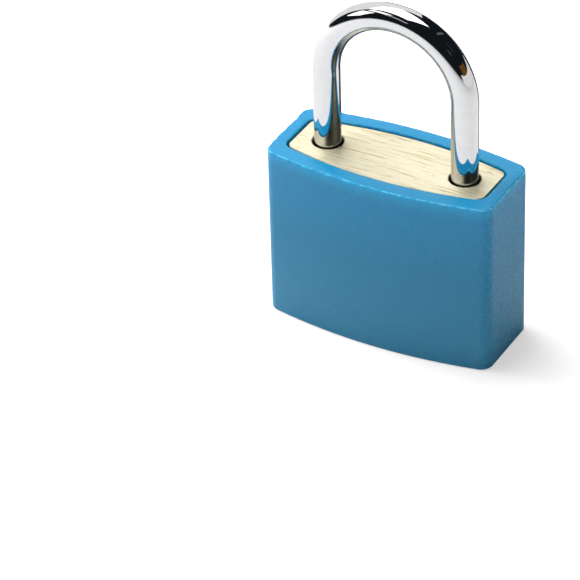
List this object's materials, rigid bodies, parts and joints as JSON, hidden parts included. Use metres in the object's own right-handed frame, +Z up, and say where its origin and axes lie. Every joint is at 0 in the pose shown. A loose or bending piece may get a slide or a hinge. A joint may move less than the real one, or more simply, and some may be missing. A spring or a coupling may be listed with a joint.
{
  "type": "padlock",
  "caption": "Small pin-tumbler padlock with a round-bar steel shackle, a brass lock body and a moulded plastic cover.",
  "frame": {"origin": "centre of the underside of the cover", "axes": "+Z up towards the shackle's bow, +X along the width towards the toe leg, broad front face towards -Y"},
  "size_m": [0.036, 0.0168, 0.0527],
  "materials": {
    "blue_plastic": "satin moulded, finely frosted",
    "brass_body": "fine brushed, pale",
    "plug_brass": "turned",
    "chromed_shackle": "bright plated",
    "pin_steel": "ground",
    "spring_steel": "drawn wire",
    "brass_pins": "turned"
  },
  "bodies": {
    "case": {"cover": "blue_plastic", "lock_body": "brass_body", "shackle_retaining_pin": "pin_steel", "plug_retaining_pin": "pin_steel", "bolt_bore_cap": "brass_pins", "shackle_spring": "spring_steel", "bolt_spring": "spring_steel", "pin_spring_1": "spring_steel", "pin_spring_2": "spring_steel", "pin_spring_3": "spring_steel", "pin_spring_4": "spring_steel", "chamber_cap_1": "brass_pins", "chamber_cap_2": "brass_pins", "chamber_cap_3": "brass_pins", "chamber_cap_4": "brass_pins"},
    "shackle": {"shackle": "chromed_shackle"},
    "plug": {"plug": "plug_brass", "plug_cam": "pin_steel"},
    "bolt": {"locking_bolt": "brass_pins"},
    "key_pin_1": {"key_pin_1": "brass_pins"},
    "driver_pin_1": {"driver_pin_1": "brass_pins"},
    "key_pin_2": {"key_pin_2": "brass_pins"},
    "driver_pin_2": {"driver_pin_2": "brass_pins"},
    "key_pin_3": {"key_pin_3": "brass_pins"},
    "driver_pin_3": {"driver_pin_3": "brass_pins"},
    "key_pin_4": {"key_pin_4": "brass_pins"},
    "driver_pin_4": {"driver_pin_4": "brass_pins"}
  },
  "joints": [
    {"name": "shackle_lift", "type": "slide", "parent": "case", "child": "shackle", "axis": [0, 0, 1], "range_m": [0, 0.0092], "deforming": ["shackle_spring"]},
    {"name": "plug_turn", "type": "hinge", "parent": "case", "child": "plug", "pos_m": [0, 0, 0.0015], "axis": [0, 0, -1], "range_deg": [0, 90]},
    {"name": "bolt_slide", "type": "slide", "parent": "case", "child": "bolt", "axis": [1, 0, 0], "range_m": [0, 0.00162], "deforming": ["bolt_spring"]},
    {"name": "key_pin_1_drop", "type": "slide", "parent": "plug", "child": "key_pin_1", "axis": [0, -1, 0], "range_m": [0, 0.0009]},
    {"name": "driver_pin_1_lift", "type": "slide", "parent": "case", "child": "driver_pin_1", "axis": [1, 0, 0], "range_m": [0, 0.0012], "stiffness_N_per_m": 60, "springref_m": -0.004, "deforming": ["pin_spring_1"]},
    {"name": "key_pin_2_drop", "type": "slide", "parent": "plug", "child": "key_pin_2", "axis": [0, -1, 0], "range_m": [0, 0.0009]},
    {"name": "driver_pin_2_lift", "type": "slide", "parent": "case", "child": "driver_pin_2", "axis": [1, 0, 0], "range_m": [0, 0.0012], "stiffness_N_per_m": 60, "springref_m": -0.004, "deforming": ["pin_spring_2"]},
    {"name": "key_pin_3_drop", "type": "slide", "parent": "plug", "child": "key_pin_3", "axis": [0, -1, 0], "range_m": [0, 0.0009]},
    {"name": "driver_pin_3_lift", "type": "slide", "parent": "case", "child": "driver_pin_3", "axis": [1, 0, 0], "range_m": [0, 0.0012], "stiffness_N_per_m": 60, "springref_m": -0.004, "deforming": ["pin_spring_3"]},
    {"name": "key_pin_4_drop", "type": "slide", "parent": "plug", "child": "key_pin_4", "axis": [0, -1, 0], "range_m": [0, 0.0009]},
    {"name": "driver_pin_4_lift", "type": "slide", "parent": "case", "child": "driver_pin_4", "axis": [1, 0, 0], "range_m": [0, 0.0012], "stiffness_N_per_m": 60, "springref_m": -0.004, "deforming": ["pin_spring_4"]}
  ],
  "couplings": [
    {"joint": "plug_turn", "follows": "bolt_slide", "rad_per_m": 969.63}
  ]
}
